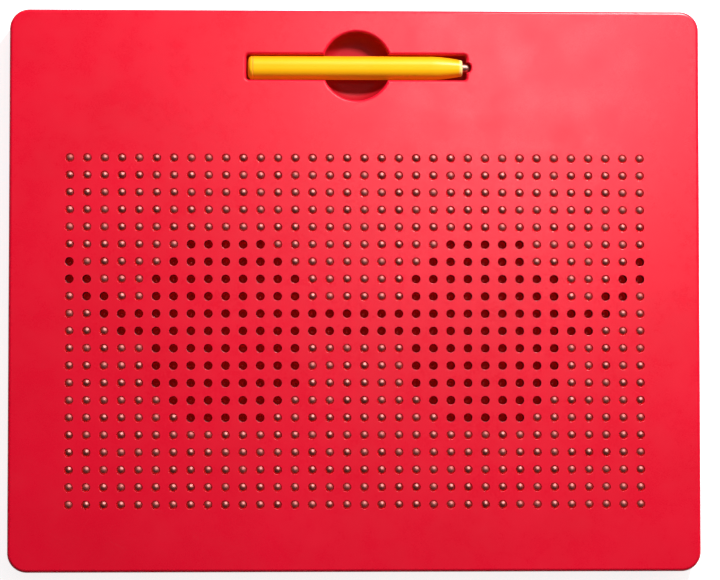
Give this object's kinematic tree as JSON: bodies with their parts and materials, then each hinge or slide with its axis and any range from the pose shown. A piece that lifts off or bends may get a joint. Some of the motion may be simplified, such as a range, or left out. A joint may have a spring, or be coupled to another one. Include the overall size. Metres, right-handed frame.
{
  "type": "magnetic bead drawing board",
  "caption": "Flat drawing board whose steel beads stand in a grid of holes, pulled up by a magnetic stylus that lies in a tray along its top edge.",
  "frame": {"origin": "under the middle of the board, on the plane its moulded feet stand on", "axes": "+Z out of the drawing face, +Y towards the stylus tray, +X along the stylus to its tip"},
  "size_m": [0.32, 0.26, 0.0149],
  "materials": {
    "cover_red": "satin moulded",
    "guide_plastic": "matt moulded",
    "sheet_rubber": "matt sheet",
    "bead_steel": "polished steel",
    "screw_steel": "zinc plated",
    "stylus_yellow": "satin moulded",
    "tip_steel": "polished steel",
    "magnet_nickel": "nickel plated"
  },
  "bodies": {
    "board": {"front_cover": "cover_red", "back_cover": "cover_red", "retaining_sheet": "sheet_rubber", "bead_guide": "guide_plastic", "screw_01": "screw_steel", "screw_02": "screw_steel", "screw_03": "screw_steel", "screw_04": "screw_steel", "screw_05": "screw_steel", "screw_06": "screw_steel", "screw_07": "screw_steel", "screw_08": "screw_steel", "screw_09": "screw_steel", "screw_10": "screw_steel"},
    "bead_row_01_raised": {"bead_row_01_raised": "bead_steel"},
    "bead_row_02_raised": {"bead_row_02_raised": "bead_steel"},
    "bead_row_03_raised": {"bead_row_03_raised": "bead_steel"},
    "bead_row_04_raised": {"bead_row_04_raised": "bead_steel"},
    "bead_row_05_raised": {"bead_row_05_raised": "bead_steel"},
    "bead_row_06_raised": {"bead_row_06_raised": "bead_steel"},
    "bead_row_07_raised": {"bead_row_07_raised": "bead_steel"},
    "bead_row_08_raised": {"bead_row_08_raised": "bead_steel"},
    "bead_row_09_raised": {"bead_row_09_raised": "bead_steel"},
    "bead_row_10_raised": {"bead_row_10_raised": "bead_steel"},
    "bead_row_11_raised": {"bead_row_11_raised": "bead_steel"},
    "bead_row_12_raised": {"bead_row_12_raised": "bead_steel"},
    "bead_row_13_raised": {"bead_row_13_raised": "bead_steel"},
    "bead_row_14_raised": {"bead_row_14_raised": "bead_steel"},
    "bead_row_15_raised": {"bead_row_15_raised": "bead_steel"},
    "bead_row_16_raised": {"bead_row_16_raised": "bead_steel"},
    "bead_row_17_raised": {"bead_row_17_raised": "bead_steel"},
    "bead_row_18_raised": {"bead_row_18_raised": "bead_steel"},
    "bead_row_19_raised": {"bead_row_19_raised": "bead_steel"},
    "bead_row_20_raised": {"bead_row_20_raised": "bead_steel"},
    "bead_row_21_raised": {"bead_row_21_raised": "bead_steel"},
    "bead_row_06_lowered": {"bead_row_06_lowered": "bead_steel"},
    "bead_row_07_lowered": {"bead_row_07_lowered": "bead_steel"},
    "bead_row_08_lowered": {"bead_row_08_lowered": "bead_steel"},
    "bead_row_09_lowered": {"bead_row_09_lowered": "bead_steel"},
    "bead_row_10_lowered": {"bead_row_10_lowered": "bead_steel"},
    "bead_row_11_lowered": {"bead_row_11_lowered": "bead_steel"},
    "bead_row_12_lowered": {"bead_row_12_lowered": "bead_steel"},
    "bead_row_13_lowered": {"bead_row_13_lowered": "bead_steel"},
    "bead_row_14_lowered": {"bead_row_14_lowered": "bead_steel"},
    "bead_row_15_lowered": {"bead_row_15_lowered": "bead_steel"},
    "bead_row_16_lowered": {"bead_row_16_lowered": "bead_steel"},
    "stylus": {"stylus_barrel": "stylus_yellow", "stylus_end_cap": "stylus_yellow", "stylus_tip": "tip_steel", "stylus_magnet": "magnet_nickel"}
  },
  "joints": [
    {"name": "bead_row_01_raised_push", "type": "slide", "parent": "board", "child": "bead_row_01_raised", "axis": [0, 0, 1], "range_m": [-0.0063, 0]},
    {"name": "bead_row_02_raised_push", "type": "slide", "parent": "board", "child": "bead_row_02_raised", "axis": [0, 0, 1], "range_m": [-0.0063, 0]},
    {"name": "bead_row_03_raised_push", "type": "slide", "parent": "board", "child": "bead_row_03_raised", "axis": [0, 0, 1], "range_m": [-0.0063, 0]},
    {"name": "bead_row_04_raised_push", "type": "slide", "parent": "board", "child": "bead_row_04_raised", "axis": [0, 0, 1], "range_m": [-0.0063, 0]},
    {"name": "bead_row_05_raised_push", "type": "slide", "parent": "board", "child": "bead_row_05_raised", "axis": [0, 0, 1], "range_m": [-0.0063, 0]},
    {"name": "bead_row_06_raised_push", "type": "slide", "parent": "board", "child": "bead_row_06_raised", "axis": [0, 0, 1], "range_m": [-0.0063, 0]},
    {"name": "bead_row_07_raised_push", "type": "slide", "parent": "board", "child": "bead_row_07_raised", "axis": [0, 0, 1], "range_m": [-0.0063, 0]},
    {"name": "bead_row_08_raised_push", "type": "slide", "parent": "board", "child": "bead_row_08_raised", "axis": [0, 0, 1], "range_m": [-0.0063, 0]},
    {"name": "bead_row_09_raised_push", "type": "slide", "parent": "board", "child": "bead_row_09_raised", "axis": [0, 0, 1], "range_m": [-0.0063, 0]},
    {"name": "bead_row_10_raised_push", "type": "slide", "parent": "board", "child": "bead_row_10_raised", "axis": [0, 0, 1], "range_m": [-0.0063, 0]},
    {"name": "bead_row_11_raised_push", "type": "slide", "parent": "board", "child": "bead_row_11_raised", "axis": [0, 0, 1], "range_m": [-0.0063, 0]},
    {"name": "bead_row_12_raised_push", "type": "slide", "parent": "board", "child": "bead_row_12_raised", "axis": [0, 0, 1], "range_m": [-0.0063, 0]},
    {"name": "bead_row_13_raised_push", "type": "slide", "parent": "board", "child": "bead_row_13_raised", "axis": [0, 0, 1], "range_m": [-0.0063, 0]},
    {"name": "bead_row_14_raised_push", "type": "slide", "parent": "board", "child": "bead_row_14_raised", "axis": [0, 0, 1], "range_m": [-0.0063, 0]},
    {"name": "bead_row_15_raised_push", "type": "slide", "parent": "board", "child": "bead_row_15_raised", "axis": [0, 0, 1], "range_m": [-0.0063, 0]},
    {"name": "bead_row_16_raised_push", "type": "slide", "parent": "board", "child": "bead_row_16_raised", "axis": [0, 0, 1], "range_m": [-0.0063, 0]},
    {"name": "bead_row_17_raised_push", "type": "slide", "parent": "board", "child": "bead_row_17_raised", "axis": [0, 0, 1], "range_m": [-0.0063, 0]},
    {"name": "bead_row_18_raised_push", "type": "slide", "parent": "board", "child": "bead_row_18_raised", "axis": [0, 0, 1], "range_m": [-0.0063, 0]},
    {"name": "bead_row_19_raised_push", "type": "slide", "parent": "board", "child": "bead_row_19_raised", "axis": [0, 0, 1], "range_m": [-0.0063, 0]},
    {"name": "bead_row_20_raised_push", "type": "slide", "parent": "board", "child": "bead_row_20_raised", "axis": [0, 0, 1], "range_m": [-0.0063, 0]},
    {"name": "bead_row_21_raised_push", "type": "slide", "parent": "board", "child": "bead_row_21_raised", "axis": [0, 0, 1], "range_m": [-0.0063, 0]},
    {"name": "bead_row_06_lowered_pull", "type": "slide", "parent": "board", "child": "bead_row_06_lowered", "axis": [0, 0, 1], "range_m": [0, 0.0063]},
    {"name": "bead_row_07_lowered_pull", "type": "slide", "parent": "board", "child": "bead_row_07_lowered", "axis": [0, 0, 1], "range_m": [0, 0.0063]},
    {"name": "bead_row_08_lowered_pull", "type": "slide", "parent": "board", "child": "bead_row_08_lowered", "axis": [0, 0, 1], "range_m": [0, 0.0063]},
    {"name": "bead_row_09_lowered_pull", "type": "slide", "parent": "board", "child": "bead_row_09_lowered", "axis": [0, 0, 1], "range_m": [0, 0.0063]},
    {"name": "bead_row_10_lowered_pull", "type": "slide", "parent": "board", "child": "bead_row_10_lowered", "axis": [0, 0, 1], "range_m": [0, 0.0063]},
    {"name": "bead_row_11_lowered_pull", "type": "slide", "parent": "board", "child": "bead_row_11_lowered", "axis": [0, 0, 1], "range_m": [0, 0.0063]},
    {"name": "bead_row_12_lowered_pull", "type": "slide", "parent": "board", "child": "bead_row_12_lowered", "axis": [0, 0, 1], "range_m": [0, 0.0063]},
    {"name": "bead_row_13_lowered_pull", "type": "slide", "parent": "board", "child": "bead_row_13_lowered", "axis": [0, 0, 1], "range_m": [0, 0.0063]},
    {"name": "bead_row_14_lowered_pull", "type": "slide", "parent": "board", "child": "bead_row_14_lowered", "axis": [0, 0, 1], "range_m": [0, 0.0063]},
    {"name": "bead_row_15_lowered_pull", "type": "slide", "parent": "board", "child": "bead_row_15_lowered", "axis": [0, 0, 1], "range_m": [0, 0.0063]},
    {"name": "bead_row_16_lowered_pull", "type": "slide", "parent": "board", "child": "bead_row_16_lowered", "axis": [0, 0, 1], "range_m": [0, 0.0063]},
    {"name": "stylus_lift", "type": "slide", "parent": "board", "child": "stylus", "axis": [0, 0, 1], "range_m": [0, 0.03]}
  ]
}
